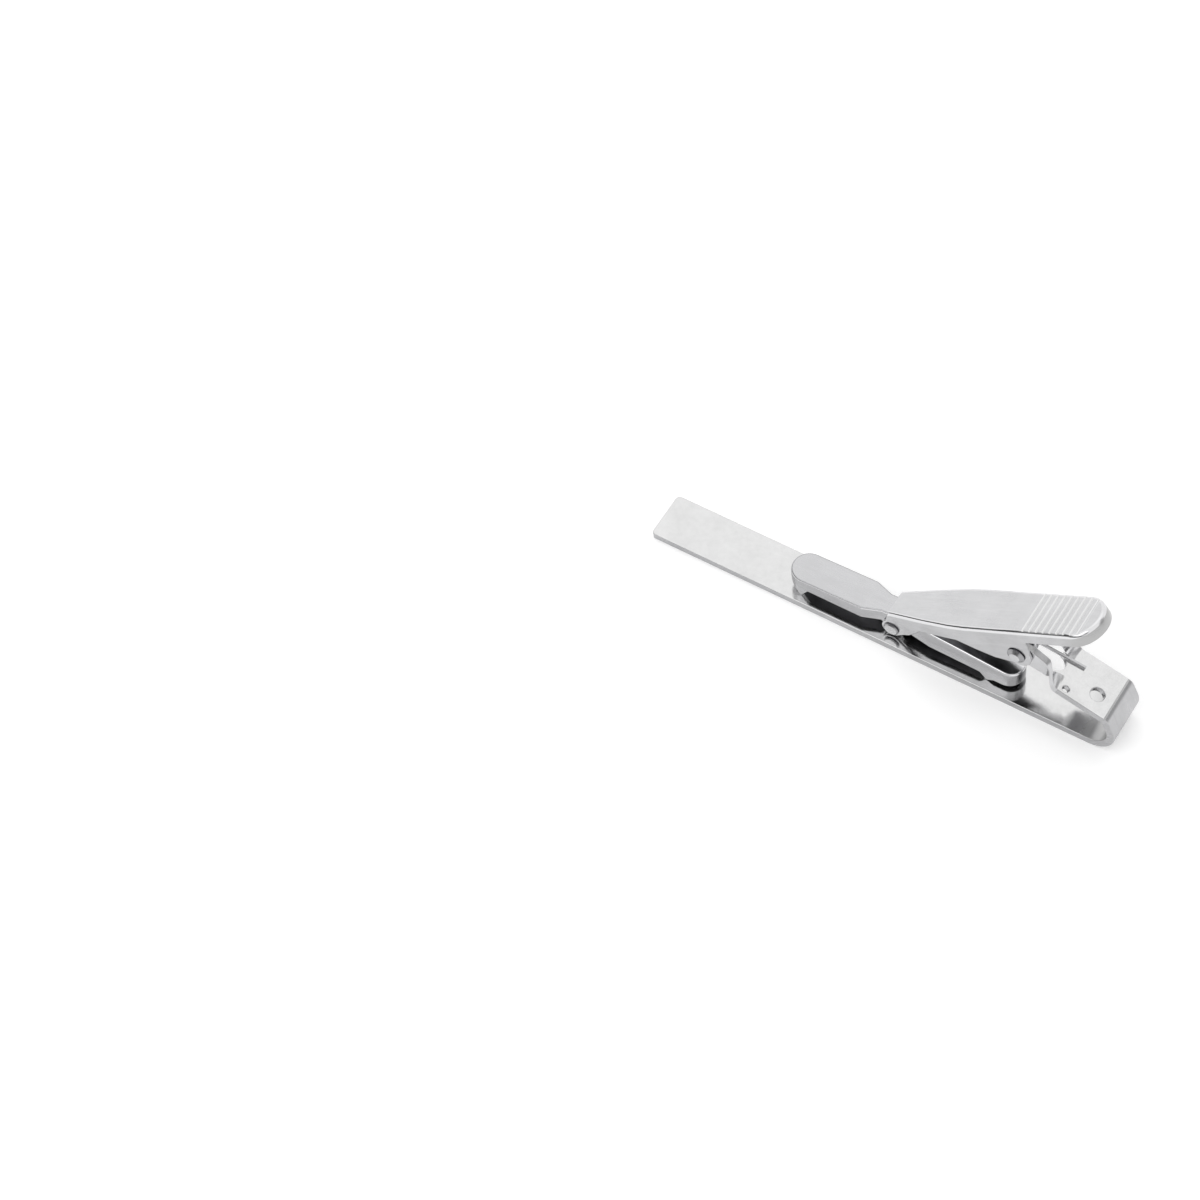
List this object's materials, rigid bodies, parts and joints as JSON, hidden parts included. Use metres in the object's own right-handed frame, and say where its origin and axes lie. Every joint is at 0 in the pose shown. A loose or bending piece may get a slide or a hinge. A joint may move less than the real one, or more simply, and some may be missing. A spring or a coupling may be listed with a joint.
{
  "type": "tie clip",
  "caption": "Bright metal tie clip: a flat bar folded back on itself, with a ribbed sprung lever that presses a pivoting channel jaw onto the bar's back.",
  "frame": {"origin": "middle of the clip's outline on the plane of the bar's front face", "axes": "+X along the bar from the free end to the fold, +Y across the bar, +Z from the bar's front face to its back, where the clasp stands"},
  "size_m": [0.06, 0.0072, 0.0212],
  "materials": {
    "bar_metal": "satin front, polished back",
    "lever_metal": "satin outside, polished edges",
    "jaw_metal": "satin outside, polished edges",
    "pin_metal": "polished",
    "spring_wire": "drawn wire"
  },
  "bodies": {
    "bar_body": {"bar": "bar_metal", "pivot_pin": "pin_metal", "spring": "spring_wire"},
    "lever_body": {"lever": "lever_metal", "jaw_pin": "pin_metal"},
    "jaw_body": {"jaw": "jaw_metal"}
  },
  "joints": [
    {"name": "lever_pivot", "type": "hinge", "parent": "bar_body", "child": "lever_body", "pos_m": [0.01767, 0, 0.01141], "axis": [0, 1, 0], "range_deg": [0, 22], "stiffness_Nm_per_rad": 0.006, "springref_deg": -1.15, "deforming": ["spring"]},
    {"name": "jaw_pivot", "type": "hinge", "parent": "lever_body", "child": "jaw_body", "pos_m": [0.00129, 0, 0.0025], "axis": [0, 1, 0], "range_deg": [-22, 0]}
  ],
  "couplings": [
    {"joint": "jaw_pivot", "follows": "lever_pivot", "ratio": -1}
  ]
}
